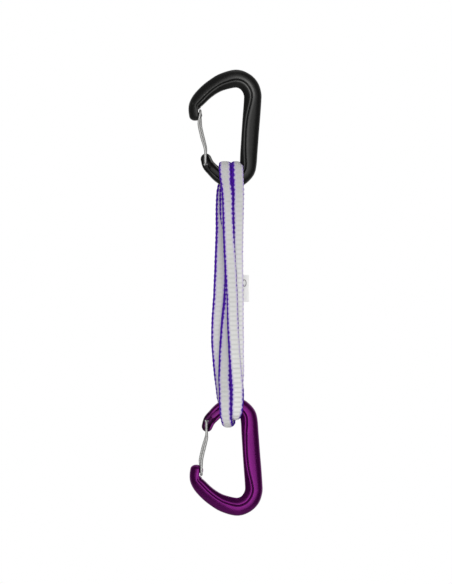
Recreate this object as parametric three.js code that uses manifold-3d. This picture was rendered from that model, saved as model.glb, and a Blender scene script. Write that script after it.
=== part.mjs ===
// An extendable climbing quickdraw: two wire-gate carabiners joined by a sewn webbing sling, folded in
// three. Millimetres, +Z up. The origin is the inside of the top carabiner's basket, where the draw hangs
// from a bolt hanger. The carabiners lie in the XZ plane, with their spines on the +X side, and Y is the
// thin way through.
import * as THREE from "three";
import { mergeVertices } from "three/addons/utils/BufferGeometryUtils.js";
import Module from "manifold-3d";

const wasm = await Module();
wasm.setup();

// ---- Driving dimensions ----

const GAP = 0.3; // clearance between neighbouring pieces

// Carabiner body: stations along the middle of the forged bar, from the nose, round the basket and down
// the spine, to the lug that carries the gate. Each is x, z, half width, half thickness, flange width,
// flange step.
const STATIONS = [
  [-29.85, -20.6, 4.8, 4.1, 3.0, 0],
  [-30.5, -16.6, 4.7, 4.2, 3.0, 0],
  [-30.3, -12.7, 4.5, 4.3, 3.0, 0.5],
  [-27.5, -8.7, 5.2, 4.3, 3.1, 1],
  [-22.2, -3.3, 5.5, 4.3, 3.4, 1],
  [-16.3, 1.1, 5.75, 4.3, 3.9, 1],
  [-9.8, 4.4, 6.25, 4.3, 4.7, 1],
  [-0.6, 6.6, 6.6, 4.3, 5.4, 1],
  [5.7, 4.8, 6.55, 4.3, 5.6, 1],
  [9.9, 0.7, 6.65, 4.3, 5.7, 1],
  [11.9, -4.7, 6.5, 4.3, 5.7, 1],
  [11.95, -10, 6.45, 4.3, 5.3, 1],
  [11.1, -21.5, 6.5, 4.3, 3.6, 1],
  [10.4, -30.4, 6.45, 4.3, 3.1, 1],
  [9.8, -39.2, 6.4, 4.3, 3.2, 1],
  [9.2, -48, 6.35, 4.3, 3.7, 1],
  [8.75, -55.5, 6.25, 4.3, 4.4, 1],
  [7.75, -60.8, 6.1, 4.3, 4.6, 1],
  [4.9, -64.9, 5.75, 4.3, 4.4, 1],
  [1.3, -67.5, 5.6, 4.3, 4.0, 1],
  [-2.8, -68.25, 5.5, 4.3, 3.8, 1],
  [-7, -67.8, 5.3, 4.3, 3.5, 0.8],
  [-10.6, -66.3, 5.1, 4.2, 3.3, 0.5],
  [-13.9, -63.9, 4.95, 4.1, 3.2, 0.2],
  [-17.2, -60.6, 4.75, 3.9, 3.0, 0],
  [-20.5, -56.9, 4.55, 2.9, 2.8, 0],
  [-22.2, -52.6, 4.05, 2.7, 2.6, 0],
];
const STATION_STEPS = 2; // rings for each span between two stations
const NOSE_CAP = 3.7; // how far the round nose reaches past the first station
const LUG_CAP = 4.2; // how far the round lug reaches past the last station
const CAP_ANGLES = [30, 55, 74, 86]; // degrees of the rings on a round end
const FLANGE_STEP = 1.35; // the inner flange lies this far below the main lobe, on each face
const CREASE = 0.35; // depth of the groove between the flange and the lobe
const INNER_ROUND = 2.2;
const OUTER_ROUND = 3.6;
const LOBE_RISE = 2.0; // width of the slope from the crease up to the top of the lobe

// Nose: a full-thickness hood outside, and a thin tooth inside it that the wire gate's two legs straddle.
const HOOD_EDGE_X = -27.95;
const TOOTH_TOP_Z = -18.35;
const TOOTH_HALF = 1.7;
const RECESS_TOP_Z = -15.8;
const BEYOND = 6; // half the depth of a cut that runs past both faces

// Lightening pocket on both faces of the arm that carries the gate.
const POCKET_FROM = [-17.5, -60.0];
const POCKET_TO = [-10.4, -66.2];
const POCKET_HALF = 2.3;
const POCKET_FLOOR = 2.9; // half thickness left at the floor of the pocket

// Wire gate.
const WIRE_R = 0.95;
const WIRE_SIDES = 8;
const PIVOT = [-22.6, -56.4]; // x and z of the gate's hinge in the lug
const PIVOT_HOLE_R = WIRE_R + 0.25;
const STUB_END_Y = 1.4; // the bent ends stop this far from the middle of the lug
const LEG_AT_LUG_Y = 3.95;
const LEG_AT_NOSE_Y = TOOTH_HALF + GAP + WIRE_R;
const REAR_LEG_SET = 1.0; // the rear leg bows inward by this much, as its hole is set off from the front one

// The bottom carabiner is the same one turned half a turn about X, and set lower and a little to the right.
const BOTTOM_X = 0.8;
const BOTTOM_Z = -301.4;

// Sling webbing. Its six strands pass round the two bars in six bights.
const WEB_W = 8.8;
const WEB_T = 1.9;
const WEB_EDGE = 0.8; // width of the tapered edge on each side
const TOP_BAR_Z = -66.5; // height of the axis that the top bights swing about
const BOTTOM_BAR_Z = -233.5;
const FOLD_Z = -102; // where the sling bends
const FOLD_HALF = 22.5; // degrees left free on each side of the bend
const TWIST_Z = -184; // where the sling twists
const STRAND_STEP = 7;
const BIGHT_STEPS = 12;

// Each strand's course: z, x, y, width. Front strands have y < 0.
const STRANDS = {
  front_left: [
    [-66.5, -7.8, -10.75, WEB_W],
    [-70, -7.4, -10.9, WEB_W],
    [-74, -7.1, -10.6, WEB_W],
    [-78, -6.65, -10.1, WEB_W],
    [-91, -6.1, -8.0, WEB_W],
    [-112, -5.5, -6.1, WEB_W],
    [-130, -4.6, -5.5, WEB_W],
    [-150, -3.3, -5.5, WEB_W],
    [-171, -2.7, -5.5, WEB_W],
    [-193, -1.7, -5.7, WEB_W],
    [-211, -0.3, -6.9, WEB_W],
    [-222, 0.8, -8.8, WEB_W],
    [-229.5, 0.9, -10.2, WEB_W],
    [-233.5, 0.65, -10.5, 8.3],
  ],
  front_right: [
    [-66.5, 0.45, -10.75, 5.7],
    [-70, 1.2, -10.0, 7.0],
    [-74, 1.35, -9.0, 7.9],
    [-78, 0.95, -7.8, WEB_W],
    [-91, 0.9, -5.8, WEB_W],
    [-112, 0.85, -3.9, WEB_W],
    [-130, 0.8, -3.3, WEB_W],
    [-150, 0.9, -3.3, WEB_W],
    [-171, 1.0, -3.3, WEB_W],
    [-193, 1.0, -3.5, WEB_W],
    [-211, 1.0, -4.6, WEB_W],
    [-222, -0.1, -6.5, 8.0],
    [-229.5, -1.3, -8.0, 6.8],
    [-233.5, -1.8, -8.35, 6.0],
  ],
  front_under: [
    [-66.5, -7.4, -8.55, 7.7],
    [-72, -7.2, -7.3, 8.2],
    [-78, -6.6, -5.5, WEB_W],
    [-91, -5.6, -3.5, WEB_W],
    [-112, -4.7, -1.7, WEB_W],
    [-130, -4.5, -1.1, WEB_W],
    [-150, -4.9, -1.1, WEB_W],
    [-171, -7.0, -1.1, WEB_W],
    [-193, -8.3, -1.3, WEB_W],
    [-211, -8.8, -3.4, WEB_W],
    [-222, -8.5, -7.6, WEB_W],
    [-229.5, -8.4, -10.8, 8.4],
    [-233.5, -8.0, -11.45, 7.8],
  ],
  back_left: [
    [-66.5, -8.1, 10.75, 8.6],
    [-72, -9.4, 9.7, 8.6],
    [-78, -10.4, 8.1, WEB_W],
    [-91, -10.9, 5.8, WEB_W],
    [-105, -10.9, 4.3, WEB_W],
    [-119, -11.4, 3.6, WEB_W],
    [-130, -11.8, 3.3, WEB_W],
    [-150, -12.6, 3.3, WEB_W],
    [-171, -13.9, 3.3, WEB_W],
    [-185, -14.3, 3.4, WEB_W],
    [-196, -13.7, 3.7, WEB_W],
    [-211, -12.3, 5.6, 8.6],
    [-222, -11.0, 8.8, 8.6],
    [-229.5, -9.9, 10.8, 8.4],
    [-233.5, -8.5, 11.45, 7.8],
  ],
  back_right: [
    [-66.5, 0.45, 10.75, 5.7],
    [-72, 0.9, 10.7, 7.2],
    [-78, 0.6, 10.1, 8.6],
    [-91, 0.5, 8.0, WEB_W],
    [-112, 0.4, 6.1, WEB_W],
    [-130, 0.5, 5.5, WEB_W],
    [-171, 0.7, 5.5, WEB_W],
    [-193, 1.0, 5.7, WEB_W],
    [-211, 1.0, 6.9, WEB_W],
    [-222, 0.8, 8.8, WEB_W],
    [-229.5, 0.8, 10.2, 8.6],
    [-233.5, 0.65, 10.5, 8.3],
  ],
  back_under: [
    [-66.5, -7.4, 8.55, 7.7],
    [-72, -7.8, 7.5, 8.2],
    [-78, -8.1, 5.9, WEB_W],
    [-91, -8.1, 3.6, WEB_W],
    [-98, -7.2, 2.8, WEB_W],
    [-106, -5.5, 2.0, WEB_W],
    [-118, -5.0, 1.4, WEB_W],
    [-130, -4.7, 1.1, WEB_W],
    [-150, -3.6, 1.1, WEB_W],
    [-171, -2.6, 1.1, WEB_W],
    [-193, -2.0, 1.3, WEB_W],
    [-211, -1.9, 3.6, WEB_W],
    [-222, -1.9, 6.4, 8.0],
    [-229.5, -1.9, 8.0, 6.8],
    [-233.5, -1.8, 8.35, 6.0],
  ],
};

// Each bight: the strands it joins, the middle of its crown in x, the crown's width and height, and the
// turn in degrees over which the webbing gathers from the strand's width to the crown's.
const TOP_BIGHTS = {
  sling_top_loop_left: ["front_left", "back_left", -8.2, WEB_W, 11.2, 18],
  sling_top_loop_right: ["front_right", "back_right", -0.7, 5.7, 11.2, 18],
  sling_top_loop_under: ["front_under", "back_under", -7.4, 7.7, 8.55, 18],
};
const BOTTOM_BIGHTS = {
  sling_bottom_loop_left: ["front_under", "back_left", -5.2, 8.0, 14.75, 90],
  sling_bottom_loop_right: ["front_left", "back_right", 0.15, 5.1, 10.5, 18],
  sling_bottom_loop_under: ["front_right", "back_under", -1.9, 5.8, 8.35, 18],
};

// Sewn splice on the back right strand, with its label and bar tacks.
const SPLICE_TOP_Z = -120;
const SPLICE_BOTTOM_Z = -160;
const SPLICE_Y = 8.4;
const LABEL_Y = 6.95;
const LABEL_T = 0.5;
const LABEL_FROM_X = -2.7;
const LABEL_TO_X = 9.3;
const LABEL_TOP_Z = -137.6;
const LABEL_BOTTOM_Z = -157.4;
const TACKS_Z = [-124, -140, -156];
const TACK_W = 7.4;
const TACK_H = 3.2;
const TACK_T = 0.6;

const material = (color, roughness, metalness) =>
  new THREE.MeshStandardMaterial({ color, roughness, metalness });
const BLACK_ANODISED = material(0x262626, 0.45, 0.6);
const PURPLE_ANODISED = material(0x5a0a5c, 0.3, 0.7);
const STAINLESS = material(0xb0b0ac, 0.3, 0.9);
const WEBBING = material(0xd2d2d4, 0.9, 0);
const LABEL_CLOTH = material(0xf0f0f0, 0.9, 0);
const PURPLE_THREAD = material(0x46139a, 0.8, 0);

// ---- Shared geometry helpers ----

const radians = THREE.MathUtils.degToRad;

// The value at parameter t of a smooth curve through rows of numbers, where row i is passed at t = i.
function along(rows, t) {
  const i = Math.min(Math.floor(t), rows.length - 2);
  const u = t - i;
  const before = rows[Math.max(i - 1, 0)];
  const after = rows[Math.min(i + 2, rows.length - 1)];
  return rows[i].map((here, k) => {
    const next = rows[i + 1][k];
    const leave = (next - before[k]) / 2;
    const arrive = (after[k] - here) / 2;
    const square = 3 * (next - here) - 2 * leave - arrive;
    const cube = 2 * (here - next) + leave + arrive;
    return here + u * (leave + u * (square + u * cube));
  });
}

// The row of a table whose first column falls steadily, worked out for one value of that column.
function rowAt(table, first) {
  let i = 0;
  while (i < table.length - 2 && table[i + 1][0] > first) i++;
  let low = i;
  let high = i + 1;
  for (let n = 0; n < 40; n++) {
    const middle = (low + high) / 2;
    if (along(table, middle)[0] > first) low = middle;
    else high = middle;
  }
  return along(table, (low + high) / 2);
}

// A closed solid through a list of rings, each a closed loop of the same number of points, with flat ends.
function skin(rings) {
  const count = rings[0].length;
  const position = rings.flat().flatMap((p) => [p.x, p.y, p.z]);
  const index = [];
  for (let r = 0; r < rings.length - 1; r++) {
    for (let k = 0; k < count; k++) {
      const a = r * count + k;
      const b = r * count + ((k + 1) % count);
      index.push(a, b, b + count, a, b + count, a + count);
    }
  }
  const last = (rings.length - 1) * count;
  for (let k = 1; k < count - 1; k++) {
    index.push(0, k + 1, k);
    index.push(last, last + k, last + k + 1);
  }
  const geometry = new THREE.BufferGeometry();
  geometry.setAttribute("position", new THREE.Float32BufferAttribute(position, 3));
  geometry.setIndex(index);
  return volume(geometry) < 0 ? turnedInsideOut(geometry) : geometry;
}

function volume(geometry) {
  const p = geometry.getAttribute("position");
  const [a, b, c] = [new THREE.Vector3(), new THREE.Vector3(), new THREE.Vector3()];
  let total = 0;
  for (let i = 0; i < geometry.index.count; i += 3) {
    a.fromBufferAttribute(p, geometry.index.getX(i));
    b.fromBufferAttribute(p, geometry.index.getX(i + 1));
    c.fromBufferAttribute(p, geometry.index.getX(i + 2));
    total += a.dot(b.cross(c)) / 6;
  }
  return total;
}

function turnedInsideOut(geometry) {
  const reversed = Array.from(geometry.index.array).reverse();
  return geometry.setIndex(reversed);
}

function solid(geometry) {
  const bare = geometry.clone();
  bare.deleteAttribute("normal");
  bare.deleteAttribute("uv");
  const merged = mergeVertices(bare, 1e-4);
  const mesh = new wasm.Mesh({
    numProp: 3,
    vertProperties: new Float32Array(merged.getAttribute("position").array),
    triVerts: new Uint32Array(merged.index.array),
  });
  return new wasm.Manifold(mesh);
}

function geometryOf(manifold) {
  const mesh = manifold.getMesh();
  const geometry = new THREE.BufferGeometry();
  geometry.setAttribute("position", new THREE.BufferAttribute(mesh.vertProperties, 3));
  geometry.setIndex(new THREE.BufferAttribute(mesh.triVerts, 1));
  return geometry;
}

// A prism whose outline is drawn in x and z, from one y to another.
function prism(shape, fromY, toY, curveSegments = 6) {
  const options = { depth: toY - fromY, bevelEnabled: false, curveSegments };
  const geometry = new THREE.ExtrudeGeometry(shape, options);
  return geometry.rotateX(Math.PI / 2).translate(0, toY, 0);
}

// ---- Carabiner body ----

// One cross-section of the bar, as [distance from the inner edge, height above the middle plane] on one
// face.
function facePoints(width, half, flange, step) {
  const low = half - FLANGE_STEP * step;
  const points = [0, 30, 60, 90].map((a) => [
    INNER_ROUND * (1 - Math.cos(radians(a))),
    low * Math.sin(radians(a)),
  ]);
  points.push([flange, low - CREASE * step]);
  points.push([flange + LOBE_RISE / 2, half - CREASE * step]);
  points.push([flange + LOBE_RISE, half]);
  for (const a of [90, 60, 35, 15, 0]) {
    points.push([width - OUTER_ROUND * (1 - Math.cos(radians(a))), half * Math.sin(radians(a))]);
  }
  return points;
}

// The ring of points at parameter t along the stations.
function bodyRing(t) {
  const [x, z, halfWidth, half, flange, step] = along(STATIONS, t);
  const ahead = along(STATIONS, Math.min(t + 0.01, STATIONS.length - 1));
  const behind = along(STATIONS, Math.max(t - 0.01, 0));
  const way = new THREE.Vector3(ahead[0] - behind[0], 0, ahead[1] - behind[1]).normalize();
  const outward = new THREE.Vector3(-way.z, 0, way.x);
  const middle = new THREE.Vector3(x, 0, z);
  const place = ([d, y]) => middle.clone().addScaledVector(outward, d - halfWidth).setY(y);
  const face = facePoints(2 * halfWidth, half, flange, Math.max(step, 0));
  const rear = face.slice(1, -1).reverse();
  const ring = [...face.map(place), ...rear.map(([d, y]) => place([d, -y]))];
  return { ring, middle, way };
}

// Rings that shrink to a round end, beyond a ring at one end of the bar.
function roundEnd({ ring, middle, way }, reach) {
  return CAP_ANGLES.map((a) => {
    const centre = middle.clone().addScaledVector(way, reach * Math.sin(radians(a)));
    return ring.map((p) => p.clone().sub(middle).multiplyScalar(Math.cos(radians(a))).add(centre));
  });
}

function forgedBar() {
  const spans = (STATIONS.length - 1) * STATION_STEPS;
  const sections = Array.from({ length: spans + 1 }, (_, i) => bodyRing(i / STATION_STEPS));
  const nose = roundEnd(sections[0], -NOSE_CAP).reverse();
  const lug = roundEnd(sections[spans], LUG_CAP);
  return solid(skin([...nose, ...sections.map((s) => s.ring), ...lug]));
}

function noseNotch() {
  const outline = [
    [HOOD_EDGE_X, TOOTH_TOP_Z],
    [HOOD_EDGE_X, -16.2],
    [-27.2, -15.6],
    [-24.6, -13.4],
    [-21.5, -12.5],
    [-21.5, -20.6],
    [-24.9, -20.6],
    [-25.6, TOOTH_TOP_Z],
  ];
  return solid(prism(polygon(outline), -BEYOND, BEYOND));
}

function legRecess(side) {
  const outline = [
    [HOOD_EDGE_X, RECESS_TOP_Z],
    [HOOD_EDGE_X, -27],
    [-21, -27],
    [-21, RECESS_TOP_Z],
  ];
  const [from, to] = side < 0 ? [-BEYOND, -TOOTH_HALF] : [TOOTH_HALF, BEYOND];
  return solid(prism(polygon(outline), from, to));
}

// An outline of x, z points, as the shape that prism() takes.
function polygon(outline) {
  return new THREE.Shape(outline.map(([x, z]) => new THREE.Vector2(x, z)));
}

function pocket(side) {
  const [fromX, fromZ] = POCKET_FROM;
  const [toX, toZ] = POCKET_TO;
  const heading = Math.atan2(toZ - fromZ, toX - fromX);
  const shape = new THREE.Shape();
  shape.absarc(toX, toZ, POCKET_HALF, heading - Math.PI / 2, heading + Math.PI / 2);
  shape.absarc(fromX, fromZ, POCKET_HALF, heading + Math.PI / 2, heading + 1.5 * Math.PI);
  const [from, to] = side < 0 ? [-BEYOND, -POCKET_FLOOR] : [POCKET_FLOOR, BEYOND];
  return solid(prism(shape, from, to));
}

function pivotHole() {
  const hole = new THREE.CylinderGeometry(PIVOT_HOLE_R, PIVOT_HOLE_R, 2 * BEYOND, 12);
  return solid(hole.translate(PIVOT[0], 0, PIVOT[1]));
}

function carabinerBody() {
  let body = forgedBar().subtract(noseNotch()).subtract(pivotHole());
  for (const side of [-1, 1]) {
    body = body.subtract(legRecess(side)).subtract(pocket(side));
  }
  return geometryOf(body);
}

// ---- Wire gate ----

// One leg's course from the hinge up to the nose: x, distance from the middle plane, z.
function legCourse(set) {
  return [
    [PIVOT[0], STUB_END_Y, PIVOT[1]],
    [PIVOT[0], LEG_AT_LUG_Y - 1.4, PIVOT[1]],
    [PIVOT[0], LEG_AT_LUG_Y - 0.4, PIVOT[1] + 0.4],
    [PIVOT[0], LEG_AT_LUG_Y, PIVOT[1] + 1.4],
    [-22.7, LEG_AT_LUG_Y, -51],
    [-22.5 + 0.2 * set, LEG_AT_LUG_Y, -47.2],
    [-22.7 + 0.6 * set, LEG_AT_LUG_Y - 0.1, -44],
    [-24.8 + set, 3.6, -38],
    [-26.5 + set, 3.3, -31.5],
    [-27.4 + 0.8 * set, LEG_AT_NOSE_Y + 0.1, -27.6],
    [-27.3 + 0.3 * set, LEG_AT_NOSE_Y, -25.6],
    [-26.8, LEG_AT_NOSE_Y, -22],
    [-26.5, LEG_AT_NOSE_Y, -19.3],
    [-26.45, LEG_AT_NOSE_Y - 0.3, -18],
    [-26.45, LEG_AT_NOSE_Y - 1.2, -17.15],
  ];
}

// A round bar through a list of points, with a ring of the section at each point.
function bar(points, radius, sides) {
  const across = new THREE.Vector3(1, 0, 0);
  const rings = points.map((point, i) => {
    const ahead = points[Math.min(i + 1, points.length - 1)];
    const behind = points[Math.max(i - 1, 0)];
    const way = ahead.clone().sub(behind).normalize();
    across.addScaledVector(way, -across.dot(way)).normalize();
    const up = way.clone().cross(across);
    return Array.from({ length: sides }, (_, k) => {
      const a = (2 * Math.PI * k) / sides;
      const ring = point.clone().addScaledVector(across, radius * Math.cos(a));
      return ring.addScaledVector(up, radius * Math.sin(a));
    });
  });
  return skin(rings);
}

function wireGate() {
  const front = legCourse(0).map(([x, y, z]) => new THREE.Vector3(x, -y, z));
  const rear = legCourse(REAR_LEG_SET).map(([x, y, z]) => new THREE.Vector3(x, y, z));
  return bar([...front, ...rear.reverse()], WIRE_R, WIRE_SIDES);
}

// ---- Sling ----

// Flat webbing through a course of { x, y, z, w } points that stays level in x.
function webbing(course, thickness = WEB_T) {
  const rings = course.map((point, i) => {
    const ahead = course[Math.min(i + 1, course.length - 1)];
    const behind = course[Math.max(i - 1, 0)];
    const way = new THREE.Vector2(ahead.y - behind.y, ahead.z - behind.z).normalize();
    const half = thickness / 2;
    const side = point.w / 2;
    const flat = side - WEB_EDGE;
    const section = [[side, 0], [flat, half], [-flat, half], [-side, 0], [-flat, -half], [flat, -half]];
    return section.map(([x, n]) => new THREE.Vector3(point.x + x, point.y - way.y * n, point.z + way.x * n));
  });
  return skin(rings);
}

// A strand's course between two heights, from the first to the second.
function strandCourse(name, fromZ, toZ) {
  const steps = Math.max(2, Math.round(Math.abs(toZ - fromZ) / STRAND_STEP));
  return Array.from({ length: steps + 1 }, (_, i) => {
    const [z, x, y, w] = rowAt(STRANDS[name], fromZ + ((toZ - fromZ) * i) / steps);
    return { x, y, z, w };
  });
}

// How far a strand stops short of the bend, so that it has room to close.
function foldRoom(name) {
  const y = rowAt(STRANDS[name], FOLD_Z)[2];
  return GAP + (Math.abs(y) + WEB_T / 2) * Math.tan(radians(FOLD_HALF));
}

// The course over a bar, from the end of the front strand to the start of the back one.
function crownCourse(front, back, [, , crownX, crownW, height, gather], barZ, up) {
  return Array.from({ length: BIGHT_STEPS - 1 }, (_, i) => {
    const turn = (Math.PI * (i + 1)) / BIGHT_STEPS;
    const end = turn < Math.PI / 2 ? front : back;
    const fromEnd = Math.min(turn, Math.PI - turn);
    const blend = THREE.MathUtils.smoothstep(fromEnd, 0, radians(gather));
    return {
      x: THREE.MathUtils.lerp(end.x, crownX, blend),
      y: -Math.abs(end.y) * Math.cos(turn),
      z: barZ + up * height * Math.sin(turn),
      w: THREE.MathUtils.lerp(end.w, crownW, blend),
    };
  });
}

function topLoop(bight) {
  const [frontName, backName] = bight;
  const front = strandCourse(frontName, FOLD_Z + foldRoom(frontName), TOP_BAR_Z);
  const back = strandCourse(backName, TOP_BAR_Z, FOLD_Z + foldRoom(backName));
  const crown = crownCourse(front.at(-1), back[0], bight, TOP_BAR_Z, 1);
  return webbing([...front, ...crown, ...back]);
}

function bottomLoop(bight) {
  const [frontName, backName] = bight;
  const front = strandCourse(frontName, TWIST_Z - GAP, BOTTOM_BAR_Z);
  const back = strandCourse(backName, BOTTOM_BAR_Z, TWIST_Z - GAP);
  const crown = crownCourse(front.at(-1), back[0], bight, BOTTOM_BAR_Z, -1);
  return webbing([...front, ...crown, ...back]);
}

function middleStrand(name) {
  return webbing(strandCourse(name, FOLD_Z - foldRoom(name), TWIST_Z + GAP));
}

// The end of the webbing that laps over the back right strand, where the sling is sewn into a loop.
function spliceLap() {
  const course = strandCourse("back_right", SPLICE_TOP_Z, SPLICE_BOTTOM_Z);
  return webbing(course.map((point) => ({ ...point, y: SPLICE_Y })));
}

function plate(width, thickness, height) {
  return new THREE.BoxGeometry(width, thickness, height);
}

// ---- Assembly ----

const quickdraw = new THREE.Group();

function add(group, name, geometry, finish) {
  const mesh = new THREE.Mesh(geometry, finish);
  mesh.name = name;
  group.add(mesh);
  return mesh;
}

const topCarabiner = new THREE.Group();
const bottomCarabiner = new THREE.Group();
bottomCarabiner.rotation.x = Math.PI;
bottomCarabiner.position.set(BOTTOM_X, 0, BOTTOM_Z);
quickdraw.add(topCarabiner, bottomCarabiner);

const bodyGeometry = carabinerBody();
const gateGeometry = wireGate();
add(topCarabiner, "top_carabiner_body", bodyGeometry, BLACK_ANODISED);
add(topCarabiner, "top_wire_gate", gateGeometry, STAINLESS);
add(bottomCarabiner, "bottom_carabiner_body", bodyGeometry, PURPLE_ANODISED);
add(bottomCarabiner, "bottom_wire_gate", gateGeometry, STAINLESS);

for (const [name, bight] of Object.entries(TOP_BIGHTS)) {
  add(quickdraw, name, topLoop(bight), WEBBING);
}
for (const name of Object.keys(STRANDS)) {
  add(quickdraw, "sling_strand_" + name, middleStrand(name), WEBBING);
}
for (const [name, bight] of Object.entries(BOTTOM_BIGHTS)) {
  add(quickdraw, name, bottomLoop(bight), WEBBING);
}

add(quickdraw, "sling_splice_lap", spliceLap(), WEBBING);

const label = add(
  quickdraw,
  "sling_label",
  plate(LABEL_TO_X - LABEL_FROM_X, LABEL_T, LABEL_TOP_Z - LABEL_BOTTOM_Z),
  LABEL_CLOTH,
);
label.position.set(
  (LABEL_FROM_X + LABEL_TO_X) / 2,
  LABEL_Y,
  (LABEL_TOP_Z + LABEL_BOTTOM_Z) / 2,
);

const tackY = SPLICE_Y + WEB_T / 2 + GAP + TACK_T / 2;
TACKS_Z.forEach((z, i) => {
  const tack = add(quickdraw, "sling_bar_tack_" + (i + 1), plate(TACK_W, TACK_T, TACK_H), PURPLE_THREAD);
  tack.position.set(rowAt(STRANDS.back_right, z)[1], tackY, z);
});

export default quickdraw;
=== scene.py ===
import math

import bpy
import numpy as np
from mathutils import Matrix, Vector


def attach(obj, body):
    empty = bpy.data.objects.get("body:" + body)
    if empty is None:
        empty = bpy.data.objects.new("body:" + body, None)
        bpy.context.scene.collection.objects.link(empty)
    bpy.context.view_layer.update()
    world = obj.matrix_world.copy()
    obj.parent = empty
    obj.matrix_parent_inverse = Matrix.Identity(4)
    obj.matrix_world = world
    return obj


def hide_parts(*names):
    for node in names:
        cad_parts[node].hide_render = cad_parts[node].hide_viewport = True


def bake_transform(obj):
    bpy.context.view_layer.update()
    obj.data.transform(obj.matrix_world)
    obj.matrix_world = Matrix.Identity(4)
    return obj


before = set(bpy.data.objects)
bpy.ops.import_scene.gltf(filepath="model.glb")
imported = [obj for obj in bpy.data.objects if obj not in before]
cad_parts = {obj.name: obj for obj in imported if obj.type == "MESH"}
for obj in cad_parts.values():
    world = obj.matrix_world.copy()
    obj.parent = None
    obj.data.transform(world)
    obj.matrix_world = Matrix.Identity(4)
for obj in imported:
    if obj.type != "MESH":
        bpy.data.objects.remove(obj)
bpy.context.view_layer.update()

MM = 0.001

# ---- Driving dimensions, as in the CAD ----

GAP = 0.3

# Stations along the forged bar, from the nose round the basket and down the spine to the gate's lug:
# x, z, half width, half thickness, flange width, flange step.
STATIONS = [
    (-29.85, -20.6, 4.8, 4.1, 3.0, 0),
    (-30.5, -16.6, 4.7, 4.2, 3.0, 0),
    (-30.3, -12.7, 4.5, 4.3, 3.0, 0.5),
    (-27.5, -8.7, 5.2, 4.3, 3.1, 1),
    (-22.2, -3.3, 5.5, 4.3, 3.4, 1),
    (-16.3, 1.1, 5.75, 4.3, 3.9, 1),
    (-9.8, 4.4, 6.25, 4.3, 4.7, 1),
    (-0.6, 6.6, 6.6, 4.3, 5.4, 1),
    (5.7, 4.8, 6.55, 4.3, 5.6, 1),
    (9.9, 0.7, 6.65, 4.3, 5.7, 1),
    (11.9, -4.7, 6.5, 4.3, 5.7, 1),
    (11.95, -10, 6.45, 4.3, 5.3, 1),
    (11.1, -21.5, 6.5, 4.3, 3.6, 1),
    (10.4, -30.4, 6.45, 4.3, 3.1, 1),
    (9.8, -39.2, 6.4, 4.3, 3.2, 1),
    (9.2, -48, 6.35, 4.3, 3.7, 1),
    (8.75, -55.5, 6.25, 4.3, 4.4, 1),
    (7.75, -60.8, 6.1, 4.3, 4.6, 1),
    (4.9, -64.9, 5.75, 4.3, 4.4, 1),
    (1.3, -67.5, 5.6, 4.3, 4.0, 1),
    (-2.8, -68.25, 5.5, 4.3, 3.8, 1),
    (-7, -67.8, 5.3, 4.3, 3.5, 0.8),
    (-10.6, -66.3, 5.1, 4.2, 3.3, 0.5),
    (-13.9, -63.9, 4.95, 4.1, 3.2, 0.2),
    (-17.2, -60.6, 4.75, 3.9, 3.0, 0),
    (-20.5, -56.9, 4.55, 2.9, 2.8, 0),
    (-22.2, -52.6, 4.05, 2.7, 2.6, 0),
]
NOSE_CAP = 3.7
LUG_CAP = 4.2
FLANGE_STEP = 1.35
CREASE = 0.35
RIDGE_SET = 0.9  # from the flange's ridge to the crease
EDGE_SHARE = 0.22  # share of the flange taken by its rounded inner edge
RIM_AT = 1.1  # top of the gate arm's rim, from its inner edge
SCOOP = 1.1  # how deep the gate arm is scooped
LAND_CROWN = 2.8  # how full the gate arm's outer side is
LOBE_RISE = 1.15
LOBE_CROWN = 2.15  # how full the lobe's curve is: 2 is an ellipse
ARM_SLOPE = 0.3  # how much thinner the nose arm is at its outer edge
BODY_STEP = 0.45
SHARP_ANGLE = 38  # degrees: a cut edge that turns more than this stays crisp

# Where the bar turns from the basket into the nose arm, and from the lower bar into the gate arm.
NOSE_ARM_X = (2, -16)
NOSE_ARM_Z = (-40, -20)
GATE_ARM_X = (-7, -15)
GATE_ARM_Z = (-40, -50)

# Places in the list of stations: where rope and hangers do the most polishing, with a painted highlight
# there too, and where the lug's face is darkened with painted shade.
BASKET_AT = 9.0
SPINE_TOP_AT = 13.0
GATE_RIM_FROM = (22, 24)
LUG_FROM = (23.3, 25.2)

HOOD_EDGE_X = -27.95
TOOTH_TOP_Z = -18.35
TOOTH_HALF = 1.7
RECESS_TOP_Z = -15.8
RECESS_BOTTOM_Z = -27
RECESS_FREE_X = -21
RECESS_RIM_Y = 4.2
BEYOND = 6  # how far the cutting tools reach from the middle plane
POCKET_FROM = (-17.5, -60.0)
POCKET_TO = (-10.4, -66.2)
POCKET_HALF = 2.3
POCKET_FLOOR = 2.45

WIRE_R = 0.95
PIVOT = (-22.6, -56.4)
PIVOT_HOLE_R = WIRE_R + 0.25
STUB_END_Y = 1.4
LEG_AT_LUG_Y = 3.95
LEG_AT_NOSE_Y = TOOTH_HALF + GAP + WIRE_R
REAR_LEG_SET = 1.4  # how far the gate's rear leg bows to the right of the front one
WIRE_SIDES = 20
WIRE_STEP = 0.3

# The bottom carabiner is the top one turned half round about X, and moved by this much.
BOTTOM_X = 0.8
BOTTOM_Z = -301.4

WEB_W = 8.8
WEB_T = 1.9
TOP_BAR_Z = -66.5
BOTTOM_BAR_Z = -233.5

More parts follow.
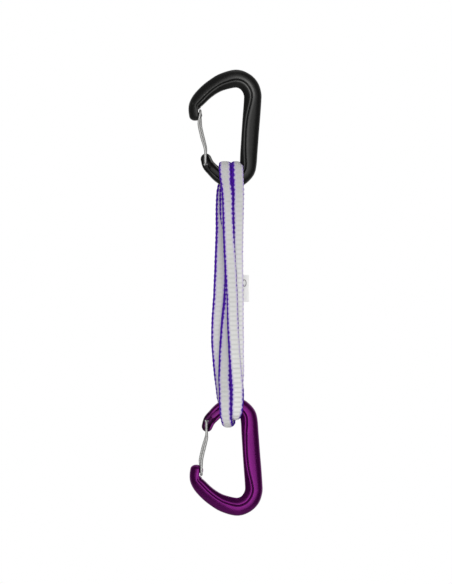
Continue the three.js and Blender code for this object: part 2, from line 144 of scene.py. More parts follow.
# Each strand's course: z, x, y, width. Front strands have y < 0.
STRANDS = {
    "front_left": [
        (-66.5, -8.0, -10.75, 9.0), (-70, -7.6, -10.9, 8.6), (-74, -7.1, -10.6, 8.5),
        (-78, -6.65, -10.1, 8.5), (-91, -6.1, -8.0, 8.6), (-112, -5.55, -6.1, 8.7),
        (-130, -4.6, -5.5, WEB_W), (-150, -3.3, -5.5, 8.4), (-171, -2.7, -5.5, 8.5),
        (-193, -1.7, -5.7, WEB_W), (-211, -0.3, -6.9, 9.0), (-222, 0.8, -8.8, 9.5),
        (-229.5, 0.8, -10.2, 9.3), (-233.5, 0.6, -10.5, 9.1),
    ],
    "front_right": [
        (-66.5, 0.75, -10.3, 9.0), (-70, 0.85, -9.9, 9.1), (-74, 0.95, -9.0, 9.2),
        (-78, 1.05, -7.8, 9.2), (-91, 1.0, -5.8, 9.0), (-112, 0.85, -3.9, 8.5),
        (-130, 0.8, -3.3, 8.5), (-150, 0.9, -3.3, WEB_W), (-171, 1.0, -3.3, WEB_W),
        (-193, 1.0, -3.5, 9.2), (-211, 1.0, -4.6, 9.2), (-222, -0.1, -6.5, 8.2),
        (-229.5, -1.3, -8.0, 6.8), (-233.5, -1.8, -8.35, 6.0),
    ],
    "front_under": [
        (-66.5, -7.4, -8.55, 7.7), (-72, -7.2, -7.3, 8.2), (-78, -6.6, -5.5, WEB_W),
        (-91, -5.6, -3.5, WEB_W), (-112, -4.7, -1.7, WEB_W), (-130, -4.5, -1.1, WEB_W),
        (-150, -4.9, -1.1, WEB_W), (-171, -7.0, -1.1, WEB_W), (-193, -8.3, -1.3, 9.0),
        (-211, -8.8, -3.4, 9.3), (-222, -8.4, -7.6, 9.3), (-229.5, -8.3, -10.8, 9.1),
        (-233.5, -8.2, -11.45, WEB_W),
    ],
    "back_left": [
        (-66.5, -8.3, 10.75, WEB_W), (-72, -9.6, 9.7, 8.9), (-78, -10.5, 8.1, 9.0),
        (-91, -10.9, 5.8, 9.0), (-105, -10.9, 4.3, 9.0), (-119, -11.4, 3.6, 9.0),
        (-130, -11.8, 3.3, 9.0), (-150, -12.6, 3.3, 9.0), (-171, -13.9, 3.3, 9.0),
        (-185, -14.3, 3.4, WEB_W), (-196, -13.7, 3.7, WEB_W), (-211, -12.3, 5.6, WEB_W),
        (-222, -11.0, 8.8, WEB_W), (-229.5, -10.0, 10.8, WEB_W), (-233.5, -8.8, 11.45, 8.6),
    ],
    "back_right": [
        (-66.5, 1.2, 10.75, 8.1), (-72, 1.2, 10.7, 8.3), (-78, 0.8, 10.1, 8.6),
        (-91, 0.5, 8.0, WEB_W), (-112, 0.4, 6.1, WEB_W), (-130, 0.5, 5.5, WEB_W),
        (-171, 0.7, 5.5, WEB_W), (-193, 1.0, 5.7, WEB_W), (-211, 1.0, 6.9, WEB_W),
        (-222, 0.8, 8.8, WEB_W), (-229.5, 0.8, 10.2, 8.6), (-233.5, 0.65, 10.5, 8.3),
    ],
    "back_under": [
        (-66.5, -7.4, 8.55, 7.7), (-72, -7.8, 7.5, 8.3), (-78, -8.1, 5.9, WEB_W),
        (-91, -8.1, 3.6, WEB_W), (-98, -7.2, 2.8, WEB_W), (-106, -5.5, 2.0, WEB_W),
        (-118, -5.0, 1.4, WEB_W), (-130, -4.7, 1.1, WEB_W), (-150, -3.6, 1.1, WEB_W),
        (-171, -2.6, 1.1, WEB_W), (-193, -2.0, 1.3, WEB_W), (-211, -1.9, 3.6, WEB_W),
        (-222, -1.9, 6.4, 8.0), (-229.5, -1.9, 8.0, 6.8), (-233.5, -1.8, 8.35, 6.0),
    ],
}

# Each bight: its two strands, its height past the bar's middle, and its middle in x and its width at some
# angles round its crown, from the front leg at 0 degrees to the back leg at 180.
TOP_BIGHTS = {
    "left": ("front_left", "back_left", 11.6, [(30, -8.3, 9.2), (90, -8.2, 9.0), (150, -8.3, 8.8)]),
    "right": ("front_right", "back_right", 11.6,
              [(30, 0.65, 8.9), (46, 0.45, 8.6), (64, -0.4, 7.0), (116, -0.4, 7.0), (134, 0.45, 8.4),
               (150, 0.6, 8.7)]),
    "under": ("front_under", "back_under", 8.55, [(90, -7.4, 7.7)]),
}
BOTTOM_BIGHTS = {
    "left": ("front_under", "back_left", 15.3,
             [(25, -7.8, 8.6), (48, -6.9, 8.5), (90, -5.8, 8.6), (125, -4.9, 8.8), (150, -6.0, 8.6)]),
    "right": ("front_left", "back_right", 9.8,
              [(25, 0.2, 8.6), (60, -0.55, 7.6), (120, -0.55, 7.6), (155, 0.2, 8.2)]),
    "under": ("front_right", "back_under", 7.1, [(90, -1.9, 5.8)]),
}
CROWN_SQUARE = 0.85  # 1 is a round crown, and less is a squarer one
TOP_ROLL = 0.9  # how far the webbing's edges roll away from the bar at a crown
BOTTOM_ROLL = 1.3

RIB = 3.56  # pitch of the weft ribs across the webbing
RIB_RINGS = 16  # mesh rings for each rib
RIB_HEIGHT = 0.17
SCALLOP = 0.2  # how far the edge loops stand out
RIBS_DEEPEN_Z = (-90, -215)  # the ribs stand out more and more between these heights
SELVAGE_FROM = (0.74, 0.92)  # share of the half width where the ribs end and the selvage begins
SECTION_POINTS = 15  # mesh points across each face
WARP = 0.62  # pitch of the warp threads along the webbing

# Heights where the webbing of one piece meets the next, end to end.
TOP_SEAM_Z = -84
SEAM_Z = -140
BOTTOM_SEAM_Z = -206

# Each strand's look: height, width of the purple that shows at its left edge and at its right edge, and how
# much painted shade dulls
# its white, from 0 to 1: most towards the top and on the strands that lie under or behind others. An edge
# that rolls over shows less purple, or only its loops.
SELVAGES = {
    "front_left": [
        (-60, 1.2, 1.3, 1.0), (-70, 1.2, 1.3, 0.9), (-84, 1.3, 1.2, 0.7), (-91, 1.4, 1.4, 0.6),
        (-108, 1.5, 1.1, 0.5), (-119, 1.5, 0.4, 0.45), (-130, 1.4, 0.2, 0.45), (-150, 1.0, 0.3, 0.4),
        (-171, 1.1, 0.3, 0.3), (-188, 1.5, -0.1, 0.3), (-211, 1.5, -0.1, 0.15), (-218, 1.4, 0.3, 0.1),
        (-224, 1.2, 1.2, 0), (-233.5, 1.0, 1.0, 0),
    ],
    "front_right": [
        (-60, 1.9, 0.1, 1.0), (-70, 2.2, 0.1, 0.9), (-80, 2.2, 0.0, 0.7), (-91, 1.9, 0.0, 0.6),
        (-102, 2.1, -0.1, 0.45), (-110, 2.0, -0.1, 0.4), (-119, 1.5, -0.1, 0.35), (-130, 1.0, -0.1, 0.2),
        (-216, 1.0, -0.1, 0), (-224, 1.0, 0.5, 0), (-233.5, 1.0, 0.5, 0),
    ],
    "front_under": [
        (-60, 1.3, 1.0, 1.0), (-145, 1.3, 0.8, 0.9), (-156, 1.9, 0.8, 1.0), (-168, 1.9, 0.8, 1.0),
        (-178, 1.6, 0.8, 1.0), (-193, 1.5, 0.9, 0.9), (-211, 1.4, 1.4, 0.8), (-216, 1.1, 1.4, 0.7),
        (-233.5, 1.1, 1.2, 0.6),
    ],
    "back_left": [
        (-60, 1.4, 1.1, 1.0), (-96, 1.6, 1.1, 1.0), (-110, 1.7, 1.0, 0.9), (-146, 1.6, 0.7, 0.6),
        (-171, 1.4, 0.9, 0.5), (-206, 1.4, 1.2, 0.7), (-215, 1.0, 1.2, 0.8), (-233.5, 0.5, 1.2, 0.7),
    ],
    "back_right": [
        (-60, 1.0, 0.2, 0.8), (-110, 1.0, 0.0, 0.3), (-216, 1.0, 0.0, 0.2), (-233.5, 1.0, 0.5, 0.2),
    ],
    "back_under": [
        (-60, 1.4, 1.1, 1.0), (-92, 1.3, 1.1, 0.9), (-102, 0.2, 1.1, 0.6), (-150, 0.2, 1.1, 0.6),
        (-170, 1.1, 1.1, 0.6), (-233.5, 1.1, 1.1, 0.6),
    ],
}

SPLICE_TOP_Z = -120
SPLICE_BOTTOM_Z = -160
SPLICE_Y = 8.4
LABEL_Y = 6.95
LABEL_FROM_X = -2.7
LABEL_TO_X = 9.3
LABEL_TOP_Z = -137.6
LABEL_BOTTOM_Z = -157.4
LABEL_T = 0.36
LABEL_FREE_X = 5.5  # from here the label hangs clear of the webbing
LABEL_LEAN = 0.25  # how far its free edge leans forwards
RING_X = 6.0
RING_Z = -143.6
RING_HALF_W = 1.3
RING_HALF_H = 2.4
RING_LINE_R = 0.24
RING_POINTS = 40
TACKS_Z = (-124, -140, -156)
TACK_W = 7.4
TACK_H = 3.2
TACK_STROKES = 24
TACK_INSET = 0.3
THREAD_R = 0.19
THREAD_STEP = 0.16
THIN_SIDES = 8  # sides of a thread and of the label's printed line


# ---- Shared mesh helpers ----

def along(rows, t):
    """Values of a smooth curve through rows of numbers at each t, where row i is passed at t = i."""
    rows = np.asarray(rows, float)
    t = np.clip(np.asarray(t, float), 0, len(rows) - 1)
    i = np.minimum(t.astype(int), len(rows) - 2)
    u = (t - i)[:, None]
    here, following = rows[i], rows[i + 1]
    before, after = rows[np.maximum(i - 1, 0)], rows[np.minimum(i + 2, len(rows) - 1)]
    leave, arrive = (following - before) / 2, (after - here) / 2
    square = 3 * (following - here) - 2 * leave - arrive
    cube = 2 * (here - following) + leave + arrive
    return here + u * (leave + u * (square + u * cube))


def evenly(rows, columns, step=None, whole=None):
    """Rows at even distances along their course in the given columns, with the distance run at each.

    The steps are about as long as step, or there are exactly this whole number of them.
    """
    run = np.concatenate([[0], np.cumsum(np.linalg.norm(np.diff(rows[:, columns], axis=0), axis=1))])
    count = whole if whole else max(2, round(run[-1] / step))
    at = np.linspace(0, run[-1], count + 1)
    return np.stack([np.interp(at, run, c) for c in rows.T], axis=1), at


def unit(v):
    """Each vector at a length of 1."""
    return v / np.linalg.norm(v, axis=-1, keepdims=True)


def smooth(x, low, high):
    """From 0 at low to 1 at high, with a soft start and finish."""
    t = np.clip((x - low) / (high - low), 0, 1)
    return t * t * (3 - 2 * t)


def mesh_piece(name, points, faces, values=None):
    """A smooth-shaded mesh object from millimetre points, facing out, with named vectors at its points."""
    mesh = bpy.data.meshes.new(name)
    mesh.from_pydata((np.asarray(points) * MM).tolist(), [], faces)
    for key, vectors in (values or {}).items():
        layer = mesh.attributes.new(key, "FLOAT_VECTOR", "POINT")
        layer.data.foreach_set("vector", np.asarray(vectors, np.float32).ravel())
    mesh.shade_smooth()
    piece = bpy.data.objects.new(name, mesh)
    bpy.context.scene.collection.objects.link(piece)
    return piece


def skin_faces(n, k):
    """Quads round n rings of k points, with a flat face at each end, wound so that they face out."""
    i, j = np.meshgrid(np.arange(n - 1), np.arange(k), indexing="ij")
    a, b = i * k + j, i * k + (j + 1) % k
    quads = np.stack([a, a + k, b + k, b], -1).reshape(-1, 4).tolist()
    return quads + [list(range(k)), list(range((n - 1) * k, n * k))[::-1]]


def skin(name, rings, values=None):
    """A closed piece through rings of points, as an array of ring, point, axis."""
    n, k, _ = rings.shape
    faces = skin_faces(n, k)
    p = rings.reshape(-1, 3)
    q = np.array(faces[:-2])
    fan = sum(
        np.einsum("ij,ij->i", p[q[:, 0]], np.cross(p[q[:, m]], p[q[:, m + 1]])).sum() for m in (1, 2)
    )
    if fan < 0:
        faces = [f[::-1] for f in faces]
    return mesh_piece(name, p, faces, values)


DOME = (88, 70, 50, 30, 14)  # angles of the rings in a tube's domed end


def padded(values):
    """Values at a tube's rings, repeated for the rings of its domed ends."""
    first, last = (np.repeat(end, len(DOME), 0) for end in (values[:1], values[-1:]))
    return np.concatenate([first, values, last])


def tube_rings(path, radius, sides, round_ends=True):
    """Rings of a round bar along a path, turning as little as they can, with domed ends."""
    way = unit(np.gradient(path, axis=0))
    across = [unit(np.cross(way[0], (0.3, 0.9, 0.2)))]
    for w in way[1:]:
        a = across[-1] - w * (across[-1] @ w)
        across.append(a / np.linalg.norm(a))
    across = np.array(across)
    up = np.cross(way, across)
    turn = np.linspace(0, 2 * np.pi, sides, endpoint=False)
    sizes = np.full(len(path), radius, float)
    if round_ends:
        dome = np.radians(DOME)
        head = path[0] - way[0] * radius * np.sin(dome)[:, None]
        tail = path[-1] + way[-1] * radius * np.sin(dome)[::-1, None]
        path = np.concatenate([head, path, tail])
        sizes = np.concatenate([radius * np.cos(dome), sizes, radius * np.cos(dome[::-1])])
        across = padded(across)
        up = padded(up)
    ring = np.cos(turn)[None, :, None] * across[:, None] + np.sin(turn)[None, :, None] * up[:, None]
    return path[:, None] + sizes[:, None, None] * ring


# ---- Materials ----

def linear(r, g, b):
    """A colour's linear values from its usual 0 to 255 ones."""
    return tuple(
        c / 12.92 if c <= 0.04045 else ((c + 0.055) / 1.055) ** 2.4 for c in (r / 255, g / 255, b / 255)
    ) + (1.0,)


class Nodes:
    """A material's node tree, with short calls to add and join nodes."""

    def __init__(self, name, **sockets):
        self.material = bpy.data.materials.new(name)
        self.material.use_nodes = True
        self.tree = self.material.node_tree
        self.shader = self.tree.nodes["Principled BSDF"]
        for key, value in sockets.items():
            self.shader.inputs[key.replace("_", " ")].default_value = value

    def add(self, kind, inputs=None, **settings):
        node = self.tree.nodes.new("ShaderNode" + kind)
        for key, value in settings.items():
            setattr(node, key, value)
        for key, value in (inputs or {}).items():
            self.put(node.inputs[key], value)
        return node

    def put(self, socket, value):
        """Joins another node's output to a socket, or sets the socket to a number or colour."""
        if isinstance(value, bpy.types.NodeSocket):
            self.tree.links.new(value, socket)
        else:
            socket.default_value = value

    def maths(self, operation, a, b=0.0, clamp=False):
        return self.add("Math", {0: a, 1: b}, operation=operation, use_clamp=clamp).outputs[0]

    def shift(self, value, factor, offset=0.0):
        """A value times a factor, plus an offset."""
        return self.maths("ADD", self.maths("MULTIPLY", value, factor), offset)

    def split(self, vector):
        return self.add("SeparateXYZ", {"Vector": vector}).outputs

    def attribute(self, name):
        return self.add("Attribute", attribute_name=name).outputs["Vector"]

    def noise(self, vector, scale, detail=3.0, roughness=0.5):
        inputs = {"Vector": vector, "Scale": scale, "Detail": detail, "Roughness": roughness}
        return self.add("TexNoise", inputs).outputs["Fac"]

    def ramp(self, value, *stops):
        """A colour from a value, through stops of a value and its colour."""
        node = self.add("ValToRGB", {"Fac": value})
        first, second = node.color_ramp.elements
        for element, (at, colour) in zip((first, second), (stops[0], stops[-1])):
            element.position, element.color = at, colour
        for at, colour in stops[1:-1]:
            node.color_ramp.elements.new(at).color = colour
        return node.outputs["Color"]

    def spread(self, value, low, high, at_low=0.0, at_high=1.0):
        """A value between low and high, reached as the given one goes from at_low to at_high."""
        ends = {"From Min": at_low, "From Max": at_high, "To Min": low, "To Max": high}
        return self.add("MapRange", {"Value": value, **ends}).outputs["Result"]

    def mix(self, share, a, b):
        node = self.add("Mix", data_type="RGBA")
        for socket, value in zip((node.inputs[0], node.inputs[6], node.inputs[7]), (share, a, b)):
            self.put(socket, value)
        return node.outputs[2]

    def bump(self, height, distance, strength=1.0, normal=None):
        inputs = {"Height": height, "Distance": distance, "Strength": strength}
        if normal is not None:
            inputs["Normal"] = normal
        return self.add("Bump", inputs).outputs["Normal"]

    def finish(self, **links):
        """Sets or joins the shader's sockets, and returns the finished material."""
        for key, value in links.items():
            self.put(self.shader.inputs[key.replace("_", " ")], value)
        return self.material


def anodised(name, dark, plain, wear_and_painted_light_tone, polish_and_highlight_amount, roughness, metallic, gloss):
    """Forged aluminium with a satin anodised skin: a faint forging texture, and lighter worn edges.

    A vector at each point holds how far the ridge and the lobe are lightened, partly by polishing and partly
    as a painted highlight, and how much the point is on the lug's face, which is darkened with painted
    shade.
    """
    n = Nodes(name, Metallic=metallic, Specular_IOR_Level=gloss)
    where = n.add("TexCoord").outputs["Object"]
    broad = n.noise(where, 160.0, 2.0)
    grain = n.noise(where, 1500.0, 4.0, 0.6)
    fine = n.noise(where, 5200.0, 2.0)
    edge = n.add("NewGeometry").outputs["Pointiness"]
    mottle = n.maths("ADD", n.maths("MULTIPLY", broad, 0.6), n.maths("MULTIPLY", grain, 0.4))
    skin_colour = n.ramp(mottle, (0.3, dark), (0.7, plain))
    rubbed = n.maths("MULTIPLY", n.spread(edge, -6.2, 6.8), n.spread(grain, 0.2, 1.1), clamp=True)
    ridge, lobe, lug = n.split(n.attribute("wear_and_painted_light"))
    # Lightening toward the paler tone on the ridge and the lobe: partly polishing, partly a painted
    # highlight.
    polish_and_highlight = n.maths("MULTIPLY", n.maths("ADD", ridge, lobe), polish_and_highlight_amount)
    share = n.maths("ADD", n.maths("MULTIPLY", rubbed, 0.25), polish_and_highlight, clamp=True)
    colour = n.mix(share, skin_colour, wear_and_painted_light_tone)
    # Painted shade: the lug's face is darkened almost to black.
    colour = n.mix(n.maths("MULTIPLY", lug, 0.7), colour, (0.002, 0.001, 0.002, 1))
    rough = n.spread(grain, roughness - 0.06, roughness + 0.06)
    first = n.bump(grain, 0.00003, 0.5)
    return n.finish(Base_Color=colour, Roughness=rough, Normal=n.bump(fine, 0.00001, 0.5, first))


def stainless(name):
    """Bright drawn wire with faint lines along it."""
    n = Nodes(name, Metallic=1.0)
    along_wire = {"Vector": n.attribute("strap"), "Scale": (0.02, 2.0, 1.0)}
    lines = n.noise(n.add("Mapping", along_wire).outputs["Vector"], 2.0, 3.0)
    colour = n.ramp(lines, (0.3, (0.44, 0.44, 0.43, 1)), (0.7, (0.48, 0.48, 0.47, 1)))
    normal = n.bump(lines, 0.0000005, 0.1)
    return n.finish(Base_Color=colour, Roughness=n.spread(lines, 0.5, 0.54), Normal=normal)


def woven(name):
    """Off-white webbing with purple selvages.

    "strap" holds, in millimetres, the distance along it, the distance across it from the middle, and how far
    in it is from the nearer selvage's inner border. "relief" holds how deep the ribs are and how much
    painted shade dulls the white.
    """
    n = Nodes(name, Specular_IOR_Level=0.15, Sheen_Weight=0.03, Sheen_Roughness=0.5)
    where = n.attribute("strap")
    run, across, inset = n.split(where)
    deep, painted_shade, _ = n.split(n.attribute("relief"))
    loose = n.noise(where, 1.3, 3.0)
    fleck = n.noise(where, 4.5, 2.0)
    broad = n.noise(where, 0.5, 2.0)
    turn = n.maths("MULTIPLY", run, 2 * math.pi / RIB)
    valley = n.maths("COSINE", turn)

    # The selvage's border swells with each rib and wanders between them.
    reach = n.maths("ADD", inset, n.maths("MULTIPLY", valley, 0.22))
    for wander in (loose, fleck, broad):
        reach = n.maths("ADD", reach, n.shift(wander, 1.2, -0.6))
    purple_share = n.spread(reach, 1.0, 0.0, -0.12, 0.12)
    fringe_share = n.spread(reach, 0.75, 0.0, 0.0, 1.35)

    # Warp threads run along the webbing, and the picks of the weft cross them.
    warp = n.maths("SINE", n.maths("MULTIPLY", across, 2 * math.pi / WARP))
    pick = n.maths("SINE", n.maths("ADD", n.maths("MULTIPLY", turn, 4.0), n.maths("MULTIPLY", warp, 0.9)))
    # Painted shade: the white darkens in the valleys between the ribs, and the flecks vary it at random.
    shade = n.maths("ADD", n.shift(valley, -0.1, 0.22), n.maths("MULTIPLY", fleck, 0.55))
    white = n.ramp(shade, (0.2, linear(204, 202, 205)), (0.5, linear(242, 242, 240)),
                   (0.8, linear(254, 254, 252)))
    purple = n.ramp(n.maths("ADD", n.maths("MULTIPLY", pick, 0.14), fleck),
                    (0.3, linear(50, 9, 132)), (0.7, linear(86, 24, 178)))

    # Painted shade: dark lines lie in the valleys between the ribs, and fade where the cloth is pulled flat.
    groove_shade = n.spread(n.maths("ADD", valley, n.maths("MULTIPLY", fleck, 0.5)), 0.0, 1.0, 1.1, 1.4)
    pulled = n.maths("MULTIPLY", n.spread(n.noise(where, 0.09, 1.0), 0.45, 0.95), deep)
    white = n.mix(n.maths("MULTIPLY", groove_shade, pulled, clamp=True), white, linear(196, 194, 199))
    # Painted shade: a duller white, most towards the top and on the strands that lie under or behind others.
    wear_and_painted_light_tone = n.ramp(fleck, (0.3, linear(192, 192, 193)), (0.7, linear(213, 213, 211)))
    white = n.mix(painted_shade, white, wear_and_painted_light_tone)
    cloth = n.mix(fringe_share, white, linear(190, 164, 232))
    colour = n.mix(purple_share, cloth, purple)
    threads = n.maths("ADD", n.maths("MULTIPLY", warp, 0.4), n.maths("MULTIPLY", pick, 0.5))
    first = n.bump(threads, 0.00006, 0.6)
    return n.finish(Base_Color=colour, Roughness=n.spread(fleck, 0.75, 0.95),
                    Normal=n.bump(fleck, 0.00005, 0.6, first))


def label_cloth(name):
    """Thin white tape that lets a little light through."""
    n = Nodes(name, Roughness=0.85, Sheen_Weight=0.1, Transmission_Weight=0.55, IOR=1.02)
    squeezed = {"Vector": n.add("TexCoord").outputs["Object"], "Scale": (1.0, 1.0, 3.0)}
    fine = n.noise(n.add("Mapping", squeezed).outputs["Vector"], 2600.0, 2.0)
    colour = n.ramp(fine, (0.3, linear(244, 244, 242)), (0.7, linear(253, 253, 251)))
    return n.finish(Base_Color=colour, Normal=n.bump(fine, 0.00004, 0.5))


def thread(name, low, high):
    """Twisted thread: "strap" holds the distance along it in millimetres, and the share of a turn round."""
    n = Nodes(name, Roughness=0.6, Sheen_Weight=0.2)
    run, around, _ = n.split(n.attribute("strap"))
    ply = n.maths("SINE", n.maths("ADD", n.maths("MULTIPLY", run, 9.0), n.maths("MULTIPLY", around, 6.28)))
    colour = n.ramp(n.shift(ply, 0.4, 0.5), (0.1, low), (0.9, high))
    return n.finish(Base_Color=colour, Normal=n.bump(ply, 0.00004, 0.6))


BLACK = anodised(
    "black_anodised_skin", dark=(0.005, 0.005, 0.005, 1), plain=(0.009, 0.009, 0.0085, 1),
    wear_and_painted_light_tone=(0.2, 0.2, 0.195, 1), polish_and_highlight_amount=0.6, roughness=0.34, metallic=0.6, gloss=0.3,
)
PURPLE = anodised(
    "purple_anodised_skin", dark=(0.085, 0.0005, 0.082, 1), plain=(0.115, 0.001, 0.11, 1),
    wear_and_painted_light_tone=(0.22, 0.012, 0.21, 1), polish_and_highlight_amount=0.2, roughness=0.28, metallic=0.8, gloss=0.5,
)
STEEL = stainless("drawn_stainless_wire")
WEBBING = woven("woven_webbing")
LABEL = label_cloth("label_weave")
THREAD = thread("purple_sewing_thread", linear(40, 8, 110), linear(96, 46, 178))
INK = thread("label_ink", linear(40, 40, 42), linear(60, 60, 62))


# ---- Carabiner bodies ----

# Shares of the way along one part of a section, without its start: at even steps, or closer towards its end.
SHORT = np.linspace(0, 1, 9)[None, 1:]
LONG = np.linspace(0, 1, 17)[None, 1:]
CLOSING = np.sin(np.radians(np.linspace(0, 90, 31)))[None, 1:]


def arm_profile(width, half, flange, step, slope):
    """One face of the main bar's section: distances from the inner edge, and heights."""
    low = half - FLANGE_STEP * step
    trough = low - CREASE * step
    # The flange climbs from its rounded inner edge to a ridge, and falls from there into the crease.
    ridge = flange - RIDGE_SET
    s = 1 - np.cos(np.radians(np.linspace(0, 90, 20)))[None]
    edge = np.sqrt(1 - (1 - np.minimum(s / EDGE_SHARE, 1)) ** 2)
    climb = 0.4 + 0.48 * smooth(flange, 3.0, 5.4)
    # The lobe is flattest near the crease and turns away ever faster towards the outer edge.
    crest = flange + LOBE_RISE
    lobe = (1 - slope * CLOSING) * (1 - CLOSING ** LOBE_CROWN) ** (1 / LOBE_CROWN)
    parts = [
        (ridge * s, low * ((1 - climb) * edge + climb * (1 - (1 - s) ** 1.35))),
        (ridge + RIDGE_SET * SHORT, low - CREASE * step * SHORT ** 2),
        (flange + LOBE_RISE * LONG, trough + (half - trough) * (1 - (1 - LONG) ** 2.6)),
        (crest + (width - crest) * CLOSING, half * lobe),
    ]
    return [np.concatenate(part, 1) for part in zip(*parts)]


def gate_profile(width, half):
    """One face of the gate arm's section: a rim at the inner edge, a scoop, and a land at the outer edge."""
    turn = np.radians(np.linspace(0, 90, 20))[None]
    every = np.zeros_like(width)  # gives a row to every station where a distance is the same at all of them
    scoop_at = RIM_AT + 1
    scoop = SCOOP * (0.3 + 0.7 * np.sin(math.pi / 2 * LONG))
    land = half - SCOOP * (1 - 0.6 * smooth(CLOSING, 0, 0.4))
    parts = [
        (every + RIM_AT * (1 - np.cos(turn)), half * np.sin(turn) ** 0.8),
        (every + RIM_AT + SHORT, half - 0.3 * SCOOP * SHORT ** 2),
        (scoop_at + (width / 2 - scoop_at) * LONG, half - scoop),
        (width / 2 * (1 + CLOSING), land * (1 - CLOSING ** LAND_CROWN) ** (1 / LAND_CROWN)),
    ]
    return [np.concatenate(part, 1) for part in zip(*parts)]


def body_rings():
    """Rings of the forged bar from nose to lug, with the bar's middle line and its direction."""
    dense = along(STATIONS, np.linspace(0, len(STATIONS) - 1, 4000))
    rows, _ = evenly(dense, [0, 1], step=BODY_STEP)
    way = unit(np.gradient(rows[:, :2], axis=0))
    outward = np.stack([-way[:, 1], way[:, 0]], 1)
    bar_x, bar_z, width, half, flange, step = (rows[:, k:k + 1] for k in range(6))
    nose_arm = smooth(bar_x, *NOSE_ARM_X) * smooth(bar_z, *NOSE_ARM_Z)
    gate_arm = smooth(bar_x, *GATE_ARM_X) * smooth(bar_z, *GATE_ARM_Z)
    step = np.maximum(step, 0) * (1 - 0.5 * nose_arm)
    d, y = arm_profile(2 * width, half, flange, step, ARM_SLOPE * nose_arm)
    gate_d, gate_y = gate_profile(2 * width, half)
    d = d + (gate_d - d) * gate_arm
    y = y + (gate_y - y) * gate_arm
    # The other face mirrors this one, back from the outer edge to the inner one.
    d = np.concatenate([d, d[:, -2:0:-1]], 1)
    y = np.concatenate([y, -y[:, -2:0:-1]], 1)
    off = d - width
    rings = np.stack([bar_x + outward[:, 0:1] * off, y, bar_z + outward[:, 1:2] * off], -1)
    middle, heading = (np.insert(flat[:, :2], 1, 0, axis=1) for flat in (rows, way))
    return rings, middle, heading


def round_end(ring, middle, heading, reach):
    """Rings that close one end of the bar to a round end."""
    a = np.radians(np.linspace(0, 88, 16)[1:])[:, None, None]
    return middle + heading * reach * np.sin(a) + (ring - middle) * np.cos(a)


def cutter(name, layers):
    """A closed tool through outlines of x and z at rising heights: a list of (y, outline)."""
    rings = np.array([[(x, y, z) for x, z in outline] for y, outline in layers])
    return skin(name, rings)


def stadium(radius, shift):
    """The pocket's outline, grown or shrunk to this radius and shifted towards the inner edge."""
    (fx, fz), (tx, tz) = POCKET_FROM, POCKET_TO
    heading = math.atan2(tz - fz, tx - fx)
    inner = (-math.sin(heading) * shift, math.cos(heading) * shift)
    out = []
    for cx, cz, first in ((tx, tz, heading - math.pi / 2), (fx, fz, heading + math.pi / 2)):
        for a in np.linspace(first, first + math.pi, 17):
            out.append((cx + inner[0] + radius * math.cos(a), cz + inner[1] + radius * math.sin(a)))
    return out


def pocket_cutter(side):
    """The pocket: a steep outer wall and rounded end, and a long slope up to the inner rim."""
    # Height above the floor, how much wider than the pocket, and shift towards the inner edge.
    steps = [
        (0.0, -1.1, -0.5), (0.06, -0.8, -0.35), (0.2, -0.55, -0.3), (0.5, -0.3, -0.15), (0.8, -0.1, 0.0),
        (1.0, 0.05, 0.05), (1.15, 0.3, 0.05), (1.22, 0.7, 0.05), (BEYOND - POCKET_FLOOR, 0.9, 0.05),
    ]
    layers = [(side * (POCKET_FLOOR + y), stadium(POCKET_HALF + wider, shift)) for y, wider, shift in steps]
    return cutter("pocket_tool", layers)


def recess_cutter(side):
    """The step down to the thin tooth on one face of the nose, with a rounded rim."""
    floor, rim = TOOTH_HALF, RECESS_RIM_Y
    right, bottom = RECESS_FREE_X, RECESS_BOTTOM_Z
    steps = [(floor, -0.3), (floor + 0.1, -0.08), (floor + 0.35, 0.0), (rim - 0.9, 0.0),
             (rim - 0.4, 0.12), (rim - 0.12, 0.4), (rim + 0.05, 0.8), (BEYOND, 1.2)]
    layers = []
    for y, wider in steps:
        left, top = HOOD_EDGE_X - wider, RECESS_TOP_Z + wider
        layers.append((side * y, [(left, top), (left, bottom), (right, bottom), (right, top)]))
    return cutter("recess_tool", layers)


def notch_cutter():
    """The slot in the nose above the tooth, where the gate's tip seats."""
    outline = [(HOOD_EDGE_X, TOOTH_TOP_Z), (HOOD_EDGE_X, -16.2), (-27.2, -15.6), (-24.6, -13.4),
               (-21.5, -12.5), (-21.5, -20.6), (-24.9, -20.6), (-25.6, TOOTH_TOP_Z)]
    return cutter("notch_tool", [(-BEYOND, outline), (BEYOND, outline)])


def pivot_cutter():
    """The lug's hole, which the gate's bent ends turn in."""
    x, z = PIVOT
    turn = np.linspace(0, 2 * math.pi, 32, endpoint=False)
    outline = [(x + PIVOT_HOLE_R * math.cos(a), z + PIVOT_HOLE_R * math.sin(a)) for a in turn]
    return cutter("pivot_tool", [(-BEYOND, outline), (BEYOND, outline)])


def vertex_places(mesh):
    """A mesh's vertices, in metres."""
    co = np.empty(len(mesh.vertices) * 3, np.float32)
    mesh.vertices.foreach_get("co", co)
    return co.reshape(-1, 3)


def apply_modifiers(piece):
    """Makes what the piece's modifiers show its own mesh."""
    shown = piece.evaluated_get(bpy.context.evaluated_depsgraph_get())
    made = bpy.data.meshes.new_from_object(shown)
    piece.modifiers.clear()
    piece.data = made


def cut(piece, tools):
    """Takes the closed tools out of a piece, and removes them."""
    for tool in tools:
        change = piece.modifiers.new("cut", "BOOLEAN")
        change.operation, change.object, change.solver = "DIFFERENCE", tool, "MANIFOLD"
    apply_modifiers(piece)
    for tool in tools:
        bpy.data.objects.remove(tool)


def carabiner_body(name):
    """The top carabiner's forging, with its nose, pockets and hole cut."""
    rings, middle, heading = body_rings()
    nose = round_end(rings[0], middle[0], heading[0], -NOSE_CAP)[::-1]
    lug = round_end(rings[-1], middle[-1], heading[-1], LUG_CAP)
    piece = skin(name, np.concatenate([nose, rings, lug]))
    faces = [make(side) for make in (recess_cutter, pocket_cutter) for side in (-1, 1)]
    cut(piece, [notch_cutter(), pivot_cutter(), *faces])
    piece.data.shade_smooth()
    piece.data.set_sharp_from_angle(angle=math.radians(SHARP_ANGLE))
    mark_wear_and_painted_light(piece)
    return piece


